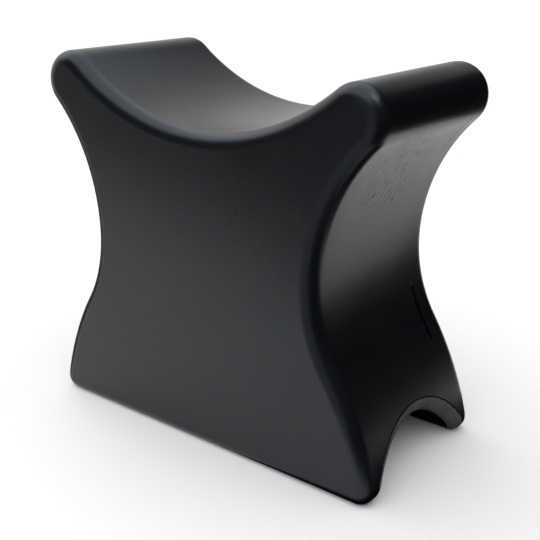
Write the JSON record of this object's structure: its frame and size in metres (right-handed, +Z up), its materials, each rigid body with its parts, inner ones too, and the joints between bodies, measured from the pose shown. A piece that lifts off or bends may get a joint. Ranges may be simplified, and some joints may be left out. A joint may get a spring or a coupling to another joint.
{
  "type": "saddle rest cushion",
  "caption": "Moulded foam spa rest cushion: hourglass block with a concave saddle between round horns, rounded edges and an arch through its underside.",
  "frame": {"origin": "centre of the base, on the plane of the two soles", "axes": "+Z up from the soles, +X across the two horns, +Y from the front face to the back face"},
  "size_m": [0.2546, 0.125, 0.2365],
  "materials": {
    "skin": "satin self-skinned polyurethane, charcoal black",
    "arch_skin": "duller self-skinned polyurethane, charcoal grey",
    "foam": "soft closed core of the same polyurethane foam, matt dark grey"
  },
  "bodies": {
    "root": {"front_skin": "skin", "back_skin": "skin", "arch_skin": "arch_skin", "foam_core": "foam"}
  },
  "joints": []
}
